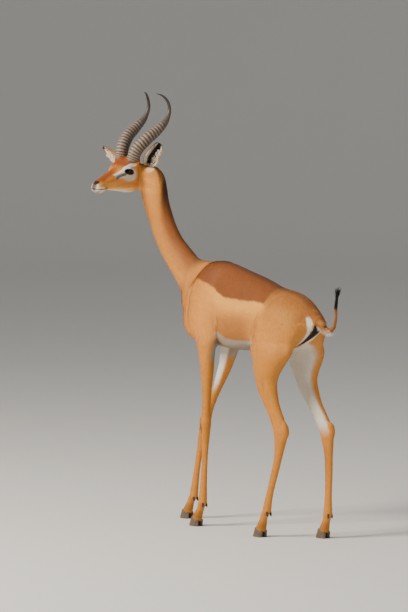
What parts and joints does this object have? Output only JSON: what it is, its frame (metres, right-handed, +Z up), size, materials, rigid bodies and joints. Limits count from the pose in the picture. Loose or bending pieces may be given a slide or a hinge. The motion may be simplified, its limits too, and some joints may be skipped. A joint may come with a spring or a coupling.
{
  "type": "gerenuk",
  "caption": "Life-size still male gerenuk standing and looking back over its left shoulder: long neck, ringed lyre horns, cupped ears, slender legs, cloven hooves and raised tufted tail.",
  "frame": {"origin": "on the floor, under the centre of the whole animal's box", "axes": "+Z up, the trunk faces -Y, the animal's left is +X"},
  "size_m": [0.454, 1.2162, 1.6536],
  "materials": {
    "coat_saddle": "short flat reddish-brown hair coat",
    "coat_tan": "short flat tan hair coat",
    "coat_leg": "short flat orange-tan hair coat",
    "coat_face": "very short rufous face hair with white eye ring",
    "tail_hair": "brown hair with a black tuft",
    "horn": "ringed grey-brown keratin, smooth at the tips",
    "hoof": "dark grey worn keratin",
    "eye": "wet dark eye"
  },
  "bodies": {
    "root": {"torso": "coat_saddle", "neck": "coat_tan", "head": "coat_face", "ear_left": "coat_face", "ear_right": "coat_face", "eye_left": "eye", "eye_right": "eye", "horn_left": "horn", "horn_right": "horn", "tail": "tail_hair", "foreleg_left_upper": "coat_leg", "foreleg_left_lower": "coat_leg", "foreleg_right_upper": "coat_leg", "foreleg_right_lower": "coat_leg", "hindleg_left_upper": "coat_leg", "hindleg_left_lower": "coat_leg", "hindleg_right_upper": "coat_leg", "hindleg_right_lower": "coat_leg", "hoof_fore_left_left": "hoof", "hoof_fore_left_right": "hoof", "hoof_fore_right_left": "hoof", "hoof_fore_right_right": "hoof", "hoof_hind_left_left": "hoof", "hoof_hind_left_right": "hoof", "hoof_hind_right_left": "hoof", "hoof_hind_right_right": "hoof", "dewclaw_fore_left_left": "hoof", "dewclaw_fore_left_right": "hoof", "dewclaw_fore_right_left": "hoof", "dewclaw_fore_right_right": "hoof", "dewclaw_hind_left_left": "hoof", "dewclaw_hind_left_right": "hoof", "dewclaw_hind_right_left": "hoof", "dewclaw_hind_right_right": "hoof"}
  },
  "joints": []
}
